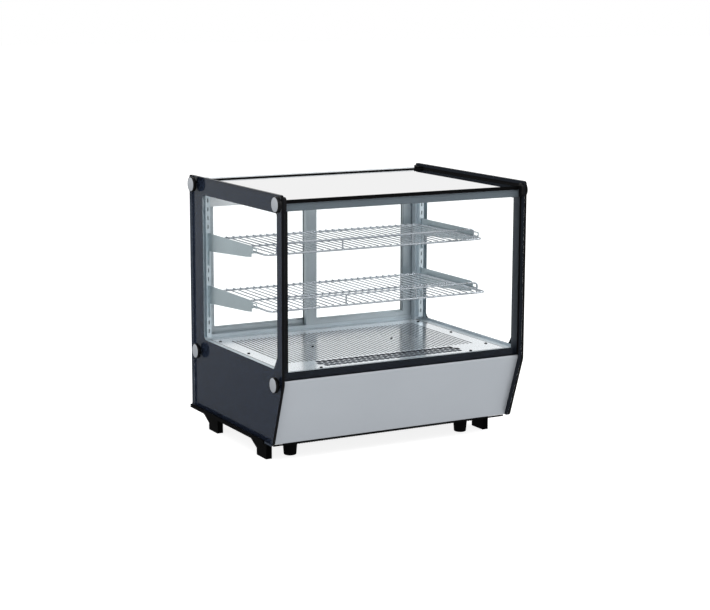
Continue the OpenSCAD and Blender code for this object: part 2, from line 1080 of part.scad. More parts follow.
module louvre(x, z) {
    length = 92;
    translate([x - length / 2, 0, 0])
        side_plate([0, length])
            polygon([
                [panel_face - 0.1, z + 9],
                [panel_face - 0.1, z + 7.6],
                [panel_face + 4.8, z + 0.5],
                [panel_face + 4.8, z - 1.5],
                [panel_face + 5.8, z - 1.5],
                [panel_face + 5.8, z + 0.8]
            ]);
    for (end = [x - length / 2, x + length / 2 - 1])
        side_plate([end, end + 1])
            polygon([
                [panel_face - 0.1, z + 9],
                [panel_face - 0.1, z - 1.5],
                [panel_face + 5.8, z - 1.5],
                [panel_face + 5.8, z + 0.8]
            ]);
}

louvre_at = concat(
    [for (i = [0:6], x = [60, 162, 264]) [x, 76 + 18 * i]],
    [for (i = [0:6]) [-42, 76 + 18 * i]],
    [for (i = [0:3]) [-144, 76 + 18 * i]]
);

module service_panel() {
    half_w = 334;
    panel_z = [pan_top + 9, 220.5];
    color([0.08, 0.08, 0.09])
        difference() {
            union() {
                block([-half_w, half_w], [panel_y, panel_face], panel_z);
                both_sides()
                    block([half_w - sheet_t, half_w], [panel_y - 0.9, panel_y + 0.1], panel_z);
                for (l = louvre_at)
                    louvre(l[0], l[1]);
            }
            for (l = louvre_at)
                block([l[0] - 45, l[0] + 45], [panel_y - 1, panel_face + 0.05], [l[1], l[1] + 6]);
            block(
                controller_x * [1, 1] + [-35.6, 35.6],
                [panel_y - 2, panel_face + 1],
                control_z * [1, 1] + [-14.6, 14.6]
            );
            for (x = switch_x)
                block(
                    x * [1, 1] + [-6.7, 6.7],
                    [panel_y - 2, panel_face + 1],
                    control_z * [1, 1] + [-9.8, 9.8]
                );
            for (s = panel_screws)
                translate([s[0], panel_y - 2, s[1]])
                    rotate([-90, 0, 0])
                        cylinder(h = 5, r = screw_r + 0.3);
            translate([gland_at[0], panel_y - 2, gland_at[1]])
                rotate([-90, 0, 0])
                    cylinder(h = 5, r = 8.3);
        }
}

bezel_face = panel_face + 3.2;
button_x = [controller_x + 7, controller_x + 18, controller_x + 29];
button_r = 4;
button_depth = 4.5;

module controller_box() {
    color([0.1, 0.1, 0.11])
        difference() {
            union() {
                block(
                    controller_x * [1, 1] + [-38.5, 38.5],
                    [panel_face + 0.1, bezel_face],
                    control_z * [1, 1] + [-17, 17]
                );
                block(
                    controller_x * [1, 1] + [-35, 35],
                    [panel_y - 52, panel_face + 0.2],
                    control_z * [1, 1] + [-14, 14]
                );
            }
            block(
                controller_x * [1, 1] + [-33.2, 0.2],
                [bezel_face - 1.4, bezel_face + 1],
                control_z * [1, 1] + [-10.2, 10.2]
            );
            for (x = button_x)
                translate([x, bezel_face - button_depth, control_z])
                    rotate([-90, 0, 0])
                        cylinder(h = button_depth + 1, r = button_r + 0.4);
        }
}

module display_window() {
    color([0.25, 0.02, 0.02])
        block(
            controller_x * [1, 1] + [-33, 0],
            [bezel_face - 1.3, bezel_face + 0.2],
            control_z * [1, 1] + [-10, 10]
        );
}

module controller_button(x) {
    translate([x, bezel_face, control_z])
        rotate([-90, 0, 0])
            rotate_extrude()
                polygon([
                    [0, -3.4],
                    [button_r, -3.4],
                    [button_r, 0.8],
                    [button_r - 0.5, 1.3],
                    [0, 1.3]
                ]);
}

module set_button() {
    color([0.75, 0.76, 0.77])
        controller_button(button_x[0]);
}

module up_button() {
    color([0.75, 0.76, 0.77])
        controller_button(button_x[1]);
}

module down_button() {
    color([0.75, 0.76, 0.77])
        controller_button(button_x[2]);
}

rocker_tilt = 12;
rocker_half = 8.2;
pivot_y = panel_face + 0.2;

module switch_frames() {
    color([0.06, 0.06, 0.06])
        for (x = switch_x)
            difference() {
                union() {
                    block(
                        x * [1, 1] + [-7.6, 7.6],
                        [panel_face + 0.1, panel_face + 2],
                        control_z * [1, 1] + [-11, 11]
                    );
                    block(
                        x * [1, 1] + [-6.5, 6.5],
                        [panel_y - 14, panel_face + 0.2],
                        control_z * [1, 1] + [-9.6, 9.6]
                    );
                }
                block(
                    x * [1, 1] + [-5.6, 5.6],
                    [panel_y - 7, panel_face + 3],
                    control_z * [1, 1] + [-9, 9]
                );
            }
}

// Rocker seen from the side, turned to its off position about its pivot
module rocker(x) {
    rise = rocker_half * tan(rocker_tilt);
    translate([0, pivot_y, control_z])
        rotate([rocker_tilt, 0, 0])
            side_plate([x - 5.2, x + 5.2])
                polygon([
                    [-4, -4],
                    [-1, -rocker_half],
                    [1.8 + rise, -rocker_half],
                    [1.8, 0],
                    [1.8 + rise, rocker_half],
                    [-1, rocker_half],
                    [-4, 4]
                ]);
}

module light_rocker() {
    color([0.1, 0.45, 0.18])
        rocker(switch_x[0]);
}

module power_rocker() {
    color([0.6, 0.08, 0.06])
        rocker(switch_x[1]);
}

module cord_gland() {
    out = front_y + 565.5 - panel_face;
    color([0.09, 0.09, 0.1])
        translate([gland_at[0], panel_face, gland_at[1]])
            rotate([-90, 0, 0])
                rotate_extrude()
                    polygon([
                        [gland_r, -12],
                        [8, -12],
                        [8, 0.1],
                        [12.5, 0.1],
                        [12.5, 5],
                        [11, 6.5],
                        [11, 13],
                        [7.5, out - 2],
                        [6.5, out],
                        [gland_r, out]
                    ]);
}

// ---------------------------------------------------------------- refrigeration

module compressor() {
    shell_r = 47;
    length = 176;
    centre = [-200, front_y + 436, pan_top + 62];
    color([0.07, 0.07, 0.08]) {
        translate(centre - [length / 2, 0, 0])
            rotate([0, 90, 0])
                rotate_extrude()
                    polygon([
                        [0, 0],
                        [30, 0],
                        [41, 5],
                        [shell_r, 16],
                        [shell_r, length / 2 - 2],
                        [shell_r + 1.5, length / 2 - 2],
                        [shell_r + 1.5, length / 2 + 2],
                        [shell_r, length / 2 + 2],
                        [shell_r, length - 16],
                        [41, length - 5],
                        [30, length],
                        [0, length]
                    ]);
        for (x = [-60, 60]) {
            block(
                (centre[0] + x) * [1, 1] + [-3, 3],
                centre[1] * [1, 1] + [-40, 40],
                [pan_top + 0.3, centre[2] - 25]
            );
            block(
                (centre[0] + x) * [1, 1] + [-14, 14],
                centre[1] * [1, 1] + [-56, 56],
                [pan_top + 0.3, pan_top + 3.3]
            );
        }
    }
}

condenser_x = [40, 260];
fan_at = [150, pan_top + 58];

module condenser_coil() {
    coil_y = [front_y + 122, front_y + 158];
    coil_z = [pan_top + 2, pan_top + 112];
    fin_pitch = 6;
    tube_r = 4.8;
    color([0.75, 0.76, 0.77]) {
        for (x = [condenser_x[0]:fin_pitch:condenser_x[1]])
            block([x - 0.4, x + 0.4], coil_y, coil_z);
        for (y = [coil_y[0] + 9, coil_y[1] - 9], i = [0:4])
            x_wire(condenser_x + [-3, 3], y, coil_z[0] + 13 + 21 * i, tube_r);
        for (x = condenser_x)
            block([x - 1, x + 1], coil_y + [-3, 3], coil_z + [-1.5, 1.5]);
    }
}

module condenser_shroud() {
    shroud_y = front_y + 166;
    ring_r = 47;
    motor_y = [shroud_y + 28, shroud_y + 58];
    color([0.12, 0.12, 0.13]) {
        difference() {
            union() {
                block(condenser_x, [shroud_y, shroud_y + 1.5], [pan_top + 2, pan_top + 114]);
                translate([fan_at[0], shroud_y, fan_at[1]])
                    rotate([-90, 0, 0])
                        cylinder(h = 20, r = ring_r + 2);
            }
            translate([fan_at[0], shroud_y - 1, fan_at[1]])
                rotate([-90, 0, 0])
                    cylinder(h = 30, r = ring_r);
        }
        translate([fan_at[0], motor_y[0], fan_at[1]])
            rotate([-90, 0, 0])
                cylinder(h = motor_y[1] - motor_y[0], r = 19);
        for (a = [45:90:315])
            translate([fan_at[0], motor_y[0], fan_at[1]])
                rotate([0, a, 0]) {
                    block([12, ring_r + 4], [0, 4], [-3, 3]);
                    block([ring_r + 0.2, ring_r + 4], [-9, 4], [-3, 3]);
                }
    }
}

// Axial fan blades about +Z, from z = 0 up to height
module fan_blades(hub_r, tip_r, height, count) {
    cylinder(h = height, r = hub_r);
    intersection() {
        cylinder(h = height, r = tip_r);
        for (i = [0:count - 1])
            rotate([0, 0, i * 360 / count])
                translate([hub_r - 2, 0, height / 2])
                    rotate([32, 0, 0])
                        translate([0, -0.8, -height])
                            cube([tip_r, 1.6, 2 * height]);
    }
}

module condenser_fan() {
    color([0.2, 0.2, 0.22])
        translate([fan_at[0], front_y + 170, fan_at[1]])
            rotate([-90, 0, 0])
                fan_blades(14, 44.5, 20, 5);
}

module drip_tray() {
    tray_y = [front_y + 262, front_y + 420];
    color([0.1, 0.1, 0.11])
        difference() {
            block([-20, 130], tray_y, [pan_top + 0.3, pan_top + 26]);
            block([-18, 128], tray_y + [2, -2], [pan_top + 2.3, pan_top + 27]);
        }
}

// Round pipe along straight runs, with a ball at each bend
module pipe(points, r) {
    for (i = [0:len(points) - 2]) {
        run = points[i + 1] - points[i];
        translate(points[i])
            rotate([0, acos(run[2] / norm(run)), atan2(run[1], run[0])])
                cylinder(h = norm(run), r = r);
    }
    for (i = [1:len(points) - 2])
        translate(points[i])
            sphere(r);
}

module refrigerant_pipes() {
    y_shell = front_y + 436;
    y_coil = front_y + 140;
    hot_z = pan_top + 92;
    liquid_z = pan_top + 30;
    color([0.72, 0.42, 0.28]) {
        pipe([
            [-111.5, y_shell, pan_top + 62],
            [-60, y_shell, pan_top + 62],
            [-60, y_shell, hot_z],
            [-60, y_coil, hot_z],
            [38.5, y_coil, hot_z]
        ], 4);
        pipe([
            [38.5, y_coil, liquid_z],
            [-90, y_coil, liquid_z],
            [-90, front_y + 240, liquid_z],
            [-90, front_y + 240, 169.5]
        ], 3.2);
        pipe([
            [-230, y_shell, pan_top + 109.5],
            [-230, y_shell, 166],
            [-230, front_y + 240, 166],
            [-110, front_y + 240, 166],
            [-110, front_y + 240, 169.5]
        ], 3.2);
    }
}

module evaporator_coil() {
    coil_x = [-200, 230];
    coil_y = [front_y + 250, front_y + 400];
    coil_z = [well_floor + 1, well_floor + 31];
    fin_pitch = 9;
    color([0.78, 0.79, 0.8]) {
        for (x = [coil_x[0]:fin_pitch:coil_x[1]])
            block([x - 0.4, x + 0.4], coil_y, coil_z);
        for (y = [coil_y[0] + 15:24:coil_y[1] - 10], z = [coil_z[0] + 8, coil_z[0] + 22])
            x_wire([coil_x[0] - 3, coil_x[1] - 1], y, z, 4);
    }
}

evaporator_fan_x = 110;
evaporator_fan_y = front_y + 116;
evaporator_fan_z = well_floor + 3;

module fan_frame() {
    half = 46;
    height = 25;
    ring_r = 43;
    difference() {
        linear_extrude(height)
            round_poly([
                [-half, -half],
                [half, -half],
                [half, half],
                [-half, half]
            ], [4, 4, 4, 4]);
        translate([0, 0, -1])
            cylinder(h = height + 2, r = ring_r);
    }
    cylinder(h = 4, r = 17);
    for (a = [45:90:315])
        rotate([0, 0, a])
            block([10, ring_r + 2], [-2.5, 2.5], [0, 3]);
}

module evaporator_fan_frames() {
    color([0.08, 0.08, 0.09])
        for (side = [-1, 1])
            translate([side * evaporator_fan_x, evaporator_fan_y, evaporator_fan_z])
                fan_frame();
}

module evaporator_fan(side) {
    translate([side * evaporator_fan_x, evaporator_fan_y, evaporator_fan_z + 5])
        fan_blades(16, 41, 18, 7);
}

module evaporator_fan_left() {
    color([0.1, 0.1, 0.11])
        evaporator_fan(-1);
}

module evaporator_fan_right() {
    color([0.1, 0.1, 0.11])
        evaporator_fan(1);
}

side_glass_left();
side_glass_right();
side_prints();
front_glass();
front_print();
top_glass();
top_print();
front_panel();
clamp_bodies();
clamp_caps();
clamp_studs();
corner_blocks();
base_pan();
intake_grille();
bracket_feet();
round_feet();
chassis_left();
chassis_right();
well_insulation();
well_liner();
deck_plate();
case_screws();
rear_post_left();
rear_post_right();
pilaster_left();
pilaster_right();
rear_header();
door_sill();
door_left_frame();
door_left_glass();
door_right_frame();
door_right_glass();
bracket_upper_left();
bracket_upper_right();
bracket_lower_left();
bracket_lower_right();
shelf_upper();
shelf_lower();
lamp_housing();
lamp_lens();
service_panel();
controller_box();
display_window();
set_button();
up_button();
down_button();
switch_frames();
light_rocker();
power_rocker();
cord_gland();
compressor();
condenser_coil();
condenser_shroud();
condenser_fan();
drip_tray();
refrigerant_pipes();
evaporator_coil();
evaporator_fan_frames();
evaporator_fan_left();
evaporator_fan_right();
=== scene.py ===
"""Countertop refrigerated display case: looks, stage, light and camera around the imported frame."""

import json
import math

import bmesh
import bpy
from mathutils import Matrix, Vector


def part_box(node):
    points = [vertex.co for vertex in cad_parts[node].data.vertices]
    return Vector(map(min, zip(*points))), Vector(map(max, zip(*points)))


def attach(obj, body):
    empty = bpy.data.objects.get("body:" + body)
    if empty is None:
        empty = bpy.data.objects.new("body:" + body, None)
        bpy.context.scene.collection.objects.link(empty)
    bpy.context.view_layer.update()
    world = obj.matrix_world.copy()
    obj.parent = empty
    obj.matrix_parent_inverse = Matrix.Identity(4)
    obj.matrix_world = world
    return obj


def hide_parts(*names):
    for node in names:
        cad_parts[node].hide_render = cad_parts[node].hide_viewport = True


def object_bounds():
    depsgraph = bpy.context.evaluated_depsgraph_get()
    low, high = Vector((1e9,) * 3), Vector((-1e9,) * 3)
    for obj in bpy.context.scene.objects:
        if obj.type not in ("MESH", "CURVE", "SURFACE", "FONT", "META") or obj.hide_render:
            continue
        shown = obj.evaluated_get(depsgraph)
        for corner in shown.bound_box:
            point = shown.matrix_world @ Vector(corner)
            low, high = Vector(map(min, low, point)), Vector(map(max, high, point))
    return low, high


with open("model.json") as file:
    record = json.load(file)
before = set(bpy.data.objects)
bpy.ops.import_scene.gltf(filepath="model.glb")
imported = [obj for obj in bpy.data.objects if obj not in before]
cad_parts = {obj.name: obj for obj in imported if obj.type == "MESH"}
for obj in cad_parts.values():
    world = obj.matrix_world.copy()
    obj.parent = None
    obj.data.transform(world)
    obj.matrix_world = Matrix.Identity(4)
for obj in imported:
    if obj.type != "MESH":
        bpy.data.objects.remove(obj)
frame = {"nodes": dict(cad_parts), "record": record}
cad_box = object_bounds()
NODES = frame["nodes"]

MM = 0.001

# In metres: where the painted reflection on the front print changes tone, and how far from the middle the
# liner is dark with painted shade
PAINTED_REFLECTION_SILL = (0.236, 0.262)
PAINTED_REFLECTION_TOP = (0.6278, 0.6286)
PAINTED_REFLECTION_ACROSS = (-0.2, 0.2)
PAINTED_SHADE_WITHIN = 0.33


# ------------------------------------------------------------------ materials

class Look:
    """A material being built: its node tree and the Principled shader at its end."""

    def __init__(self, name, color=(0.5, 0.5, 0.5), roughness=0.5, metallic=0.0, **more):
        self.material = bpy.data.materials.new(name)
        self.material.use_nodes = True
        self.tree = self.material.node_tree
        self.tree.nodes.clear()
        self.output = self.node("ShaderNodeOutputMaterial")
        self.shader = self.node("ShaderNodeBsdfPrincipled")
        self.link(self.shader.outputs[0], self.output.inputs["Surface"])
        self.shader.inputs["Base Color"].default_value = (*color, 1)
        self.shader.inputs["Roughness"].default_value = roughness
        self.shader.inputs["Metallic"].default_value = metallic
        for socket, value in more.items():
            self.shader.inputs[socket.replace("_", " ")].default_value = value

    def node(self, kind, **inputs):
        made = self.tree.nodes.new(kind)
        for name, value in inputs.items():
            made.inputs[name.replace("_", " ")].default_value = value
        return made

    def link(self, output, socket):
        self.tree.links.new(output, socket)

    def place(self, scale=(1, 1, 1)):
        """Object coordinates, stretched by scale."""
        coords = self.node("ShaderNodeTexCoord")
        mapping = self.node("ShaderNodeMapping")
        mapping.inputs["Scale"].default_value = scale
        self.link(coords.outputs["Object"], mapping.inputs["Vector"])
        return mapping.outputs[0]

    def height(self):
        """Height above the floor, in metres."""
        split = self.node("ShaderNodeSeparateXYZ")
        self.link(self.place(), split.inputs[0])
        return split.outputs["Z"]

    def noise(self, scale, stretch=(1, 1, 1), detail=3.0, roughness=0.55):
        made = self.node("ShaderNodeTexNoise", Scale=scale, Detail=detail, Roughness=roughness)
        self.link(self.place(stretch), made.inputs["Vector"])
        return made.outputs["Fac"]

    def spread(self, value, low, high, low_in=0.3, high_in=0.7):
        """Maps a value from low_in..high_in to low..high."""
        made = self.node("ShaderNodeMapRange")
        made.inputs["From Min"].default_value = low_in
        made.inputs["From Max"].default_value = high_in
        made.inputs["To Min"].default_value = low
        made.inputs["To Max"].default_value = high
        self.link(value, made.inputs["Value"])
        return made.outputs[0]

    def mixed(self, value, a, b):
        """A colour between a and b, where each is a colour or another node's output."""
        made = self.node("ShaderNodeMix")
        made.data_type = "RGBA"
        for socket, color in ((6, a), (7, b)):
            if isinstance(color, tuple):
                made.inputs[socket].default_value = (*color, 1)
            else:
                self.link(color, made.inputs[socket])
        self.link(value, made.inputs[0])
        return made.outputs[2]

    def bump(self, value, depth, strength=1.0):
        made = self.node("ShaderNodeBump", Strength=strength, Distance=depth)
        self.link(value, made.inputs["Height"])
        return made.outputs[0]

    def feed(self, **sockets):
        for socket, value in sockets.items():
            self.link(value, self.shader.inputs[socket.replace("_", " ")])


def toned(color, share):
    return tuple(min(c * share, 1) for c in color)


def pane_glass(name, tint, ior, gain=1.0, mirrored=1.0):
    """Clear pane: rays pass straight on, and the face they enter by mirrors a Fresnel share."""
    look = Look(name)
    look.tree.nodes.remove(look.shader)
    clear = look.node("ShaderNodeBsdfTransparent", Color=(*tint, 1))
    mirror = look.node("ShaderNodeBsdfAnisotropic", Roughness=0.0, Color=(*toned((1, 1, 1), mirrored), 1))
    fresnel = look.node("ShaderNodeFresnel", IOR=ior)
    side = look.node("ShaderNodeNewGeometry")
    entered = look.spread(side.outputs["Backfacing"], gain, 0, 0, 1)
    share = look.node("ShaderNodeMath")
    share.operation = "MULTIPLY"
    share.use_clamp = True
    look.link(fresnel.outputs[0], share.inputs[0])
    look.link(entered, share.inputs[1])
    mix = look.node("ShaderNodeMixShader")
    look.link(share.outputs[0], mix.inputs[0])
    look.link(clear.outputs[0], mix.inputs[1])
    look.link(mirror.outputs[0], mix.inputs[2])
    look.link(mix.outputs[0], look.output.inputs["Surface"])
    return look.material


def plain(name, color, roughness, metallic=0.0, grain=400.0, depth=0.00002, vary=0.08, **more):
    """A finished solid colour: fine grain, slight tone and gloss variation."""
    look = Look(name, color, roughness, metallic, **more)
    slow = look.noise(9.0)
    fine = look.noise(grain, detail=2.0)
    look.feed(
        Base_Color=look.mixed(slow, toned(color, 1 - vary), toned(color, 1 + vary)),
        Roughness=look.spread(fine, roughness * 0.85, roughness * 1.15),
        Normal=look.bump(fine, depth, 0.4),
    )
    return look.material


def black(name, level, roughness, gloss, **more):
    """A black part that hardly mirrors the pale studio."""
    color = toned((0.9, 0.92, 1.0), level)
    return plain(name, color, roughness, Specular_IOR_Level=gloss, **more)


def brushed(name, color, roughness, along=0, lines=900.0, depth=0.00001, vary=0.1, metallic=1.0):
    """Brushed metal: fine lines along one axis, and slow clouds in tone."""
    stretch = [1.0, 1.0, 1.0]
    stretch[along] = 0.012
    look = Look(name, color, roughness, metallic)
    grain = look.noise(lines, stretch, detail=2.0)
    cloud = look.noise(5.0, detail=2.0)
    tone = look.mixed(look.spread(cloud, 0, 1), toned(color, 1 - vary), toned(color, 1 + vary))
    look.feed(
        Base_Color=tone,
        Roughness=look.spread(grain, roughness * 0.93, roughness * 1.08),
        Normal=look.bump(grain, depth, 0.35),
    )
    return look.material


def turned_metal(name, color, roughness):
    """Faced metal: rings too fine to count, round the part's own axis."""
    look = Look(name, color, roughness, 1.0)
    rings = look.noise(1500.0, (1, 0.4, 0.4), detail=1.0)
    cloud = look.noise(60.0)
    look.feed(
        Base_Color=look.mixed(cloud, toned(color, 0.93), toned(color, 1.05)),
        Roughness=look.spread(rings, roughness * 0.8, roughness * 1.3),
        Normal=look.bump(rings, 0.00001, 0.3),
    )
    return look.material


def print_with_painted_reflection(name, low, left, right, top):
    """Black ceramic print behind the front glass, its tones painted reflection: near black at the sill,
    slate at the right and the top.
    """
    look = Look(name, low, 0.12, Specular_IOR_Level=0.21)
    height = look.height()
    across = look.node("ShaderNodeSeparateXYZ")
    look.link(look.place(), across.inputs[0])
    # Painted reflection: near black on the left fading to slate on the right, and a lighter slate band at
    # the top
    posts = look.mixed(look.spread(across.outputs["X"], 0, 1, *PAINTED_REFLECTION_ACROSS), left, right)
    lower = look.mixed(look.spread(height, 0, 1, *PAINTED_REFLECTION_SILL), low, posts)
    slate = look.mixed(look.noise(14.0), toned(top, 0.94), toned(top, 1.06))
    look.feed(Base_Color=look.mixed(look.spread(height, 0, 1, *PAINTED_REFLECTION_TOP), lower, slate))
    return look.material


SIDE_SLATE = (0.011, 0.015, 0.026)

MATERIALS = {
    "clear_glass": pane_glass("clear_glass", (0.985, 0.99, 0.99), 1.3),
    "door_glass": pane_glass("door_glass", (0.98, 0.99, 0.99), 1.42),
    "black_print": plain("black_print", SIDE_SLATE, 0.8, vary=0.12, Specular_IOR_Level=0.0),
    "stainless": brushed("stainless", (0.34, 0.363, 0.392), 0.34, depth=0.000001, vary=0.02, metallic=0.35),
    "bright_knob": turned_metal("bright_knob", (0.53, 0.555, 0.59), 0.42),
    "black_clamp": black("black_clamp", 0.003, 0.3, 0.12),
    "zinc": plain("zinc", (0.6, 0.62, 0.64), 0.4, 1.0),
    "black_coat": black("black_coat", 0.0012, 0.5, 0.012, grain=900.0, depth=0.00001),
    "black_plastic": black("black_plastic", 0.002, 0.55, 0.02, grain=700.0, depth=0.000005),
    "foot_rubber": black("foot_rubber", 0.0025, 0.7, 0.02, grain=600.0),
    "inner_steel": brushed("inner_steel", (0.50, 0.555, 0.595), 0.4, along=2, metallic=0.8),
    "foam": plain("foam", (0.75, 0.68, 0.45), 0.9, grain=150.0, depth=0.0004),
    "deck_steel": brushed("deck_steel", (0.76, 0.785, 0.82), 0.17, depth=0.000004, vary=0.04, metallic=0.8),
    "galvanised": plain("galvanised", (0.50, 0.57, 0.60), 0.42, 1.0, grain=120.0, vary=0.12),
    "header_paint": plain("header_paint", (0.60, 0.625, 0.645), 0.45),
    "door_aluminium": brushed("door_aluminium", (0.44, 0.49, 0.52), 0.38, along=2),
    "shelf_wire": plain("shelf_wire", (0.50, 0.53, 0.57), 0.22, 1.0),
    "lamp_aluminium": plain("lamp_aluminium", (0.72, 0.73, 0.74), 0.4, 1.0),
    "lamp_diffuser": plain("lamp_diffuser", (0.85, 0.85, 0.83), 0.5),
    "display_smoke": plain("display_smoke", (0.05, 0.004, 0.004), 0.08),
    "button_grey": plain("button_grey", (0.35, 0.36, 0.37), 0.5),
    "rocker_green": plain("rocker_green", (0.02, 0.28, 0.08), 0.25),
    "rocker_red": plain("rocker_red", (0.42, 0.02, 0.015), 0.25),
    "fin_aluminium": plain("fin_aluminium", (0.7, 0.71, 0.72), 0.35, 1.0),
    "copper": plain("copper", (0.72, 0.35, 0.2), 0.3, 1.0),
}

for part in frame["record"]["subparts"]:
    ob = NODES[part["node"]]
    ob.data.materials.clear()
    ob.data.materials.append(MATERIALS[part["material_slot"]])

# The print bonded to a pane carries all its gloss: a mirror on the pane as well gives a speckle
PRINTED_PANE = pane_glass("printed_pane", (0.985, 0.99, 0.99), 1.3, gain=0.0)
for node in ("side_glass_left", "side_glass_right", "front_glass"):
    NODES[node].data.materials[0] = PRINTED_PANE
for side in ("left", "right"):
    NODES[f"pilaster_{side}"].data.materials[0] = plain(
        f"pilaster_{side}_zinc", (0.64, 0.72, 0.77), 0.42, 1.0, grain=120.0, vary=0.1
    )
NODES["side_prints"].data.materials[0] = plain(
    "side_border", SIDE_SLATE, 0.1, vary=0.05, depth=0.0000002,
    Specular_IOR_Level=0.15, Specular_Tint=(0.86, 0.93, 1.0, 1),
)
NODES["service_panel"].data.materials[0] = black("panel_coat", 0.014, 0.4, 0.3, grain=900.0)
ROOF_GLASS = pane_glass("roof_glass", (0.985, 0.99, 0.99), 1.6, gain=2.2, mirrored=0.88)
NODES["top_glass"].data.materials[0] = ROOF_GLASS
# The front print is black; its tones at the sill, the sides and the top are painted reflection
NODES["front_print"].data.materials[0] = print_with_painted_reflection(
    "front_border", low=(0.006, 0.008, 0.012), left=(0.0005, 0.0005, 0.001),
    right=(0.040, 0.046, 0.053), top=(0.077, 0.093, 0.107),
)

# Materials of single faces: glass edges in black as painted reflection, rear and bottom edges of the side
# glasses as painted light, the bare back of the side print, and painted shade in the well
# Glass edges in black: painted reflection of the black print seen in the edge
EDGE_PAINTED_REFLECTION = black("glass_edge_painted_reflection", 0.003, 0.3, 0.06, depth=0.000001)
PRINT_BACK = plain("print_back", (0.011, 0.0135, 0.018), 0.7, Specular_IOR_Level=0.03)
WELL_PAINTED_SHADE = plain("well_painted_shade", (0.05, 0.057, 0.068), 0.5, 0.3)
# Rear and bottom edges of the side glasses in a lighter slate: painted light, so the print's mirror image
# of them is not a dark strip
EDGE_PAINTED_LIGHT = plain("edge_painted_light", (0.05, 0.059, 0.078), 0.7, Specular_IOR_Level=0.05)
# Painted shade: the steel duct under the outlet takes the dark colour it has in shade
DUCT_PAINTED_SHADE = plain("duct_painted_shade", (0.06, 0.072, 0.09), 0.6)


def finish_faces(node, material, chosen):
    """Gives the faces of a CAD node for which chosen(centre, normal) holds another finish, some of them
    painted shade, light or reflection.
    """
    mesh = NODES[node].data
    mesh.materials.append(material)
    for face in mesh.polygons:
        if chosen(face.center, face.normal):
            face.material_index = len(mesh.materials) - 1


for node in ("side_glass_left", "side_glass_right"):
    finish_faces(node, EDGE_PAINTED_REFLECTION, lambda centre, normal: abs(normal.x) < 0.7)
    finish_faces(node, EDGE_PAINTED_LIGHT, lambda centre, normal: normal.y > 0.9 or normal.z < -0.9)
for node, axis in (("front_glass", 1), ("top_glass", 2)):
    finish_faces(node, EDGE_PAINTED_REFLECTION, lambda centre, normal: abs(normal[axis]) < 0.7)
finish_faces("side_prints", PRINT_BACK, lambda centre, normal: normal.x * centre.x < 0)
# Painted shade: the liner's faces below the deck near the middle, and the deck's underside and hole walls,
# take a dark material
deck_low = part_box("deck_plate")[1][2] - 0.4 * MM
finish_faces(
    "well_liner", WELL_PAINTED_SHADE,
    lambda centre, normal: centre.z < deck_low and abs(centre.x) < PAINTED_SHADE_WITHIN,
)
finish_faces("deck_plate", WELL_PAINTED_SHADE, lambda centre, normal: normal.z < 0.5)


# ------------------------------------------------------------------ mesh helpers

def new_piece(name, bm, slot, body="case", instead_of=(), smooth=35):
    """Turns a bmesh, drawn in millimetres, into a piece that rides on a CAD body."""
    bmesh.ops.remove_doubles(bm, verts=bm.verts, dist=0.0005)
    bmesh.ops.recalc_face_normals(bm, faces=bm.faces)
    bmesh.ops.scale(bm, vec=(MM, MM, MM), verts=bm.verts)
    mesh = bpy.data.meshes.new(name)
    bm.to_mesh(mesh)
    bm.free()
    mesh.shade_smooth()
    mesh.set_sharp_from_angle(angle=math.radians(smooth))
    made = bpy.data.objects.new(name, mesh)
    bpy.context.scene.collection.objects.link(made)
    mesh.materials.append(MATERIALS[slot])
    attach(made, body)
    if instead_of:
        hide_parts(*instead_of)
    return made


def lathe(bm, profile, place, segments=56):
    """Turns a profile of (radius, height) round the local Z axis of place."""
    rings = []
    for radius, height in profile:
        count = segments if radius > 0 else 1
        angles = [2 * math.pi * i / segments for i in range(count)]
        rings.append([
            bm.verts.new(place @ Vector((radius * math.cos(a), radius * math.sin(a), height)))
            for a in angles
        ])
    for low, high in zip(rings, rings[1:]):
        for i in range(segments):
            j = (i + 1) % segments
            corners = [low[i % len(low)], low[j % len(low)], high[j % len(high)], high[i % len(high)]]
            face = list(dict.fromkeys(corners))
            if len(face) > 2:
                bm.faces.new(face)


def prism(bm, outline, low, high, axis=0):
    """Extrudes an outline in the plane across an axis from low to high along it."""
    def at(value, u, v):
        point = [u, v]
        point.insert(axis, value)
        return bm.verts.new(point)

    ends = [[at(value, u, v) for u, v in outline] for value in (low, high)]
    count = len(outline)
    for i in range(count):
        j = (i + 1) % count
        bm.faces.new((ends[0][i], ends[0][j], ends[1][j], ends[1][i]))
    bm.faces.new(ends[0])
    bm.faces.new(ends[1])


def bar(bm, low, high, bevel=0.4):
    """A box between two corners, with its edges eased."""
    made = bmesh.ops.create_cube(bm, size=1.0)["verts"]
    for vert in made:
        vert.co = Vector([high[i] if vert.co[i] > 0 else low[i] for i in range(3)])
    if bevel:
        edges = list({edge for vert in made for edge in vert.link_edges})
        bmesh.ops.bevel(
            bm, geom=edges, offset=bevel, segments=2, affect="EDGES", profile=0.5, clamp_overlap=True
        )


def eased(points, radii, steps=5):
    """An open path whose inner corners are rounded to the given radii."""
    path = [Vector(points[0])]
    for before, here, after, radius in zip(points, points[1:], points[2:], radii):
        here = Vector(here)
        back = (Vector(before) - here).normalized()
        ahead = (Vector(after) - here).normalized()
        half = back.angle(ahead) / 2
        reach = radius / math.tan(half)
        centre = here + (back + ahead).normalized() * radius / math.sin(half)
        start = here + back * reach - centre
        end = here + ahead * reach - centre
        for i in range(steps + 1):
            share = i / steps
            path.append(centre + start.slerp(end, share).normalized() * radius)
    path.append(Vector(points[-1]))
    return path


def thickened(path, thickness):
    """The closed outline of a sheet bent along a path, with its thickness to the right."""
    inner = []
    for i, here in enumerate(path):
        before = path[max(i - 1, 0)]
        after = path[min(i + 1, len(path) - 1)]
        along = (after - before).normalized()
        inner.append(here + Vector((along.y, -along.x)) * thickness)
    return [tuple(p) for p in path] + [tuple(p) for p in reversed(inner)]


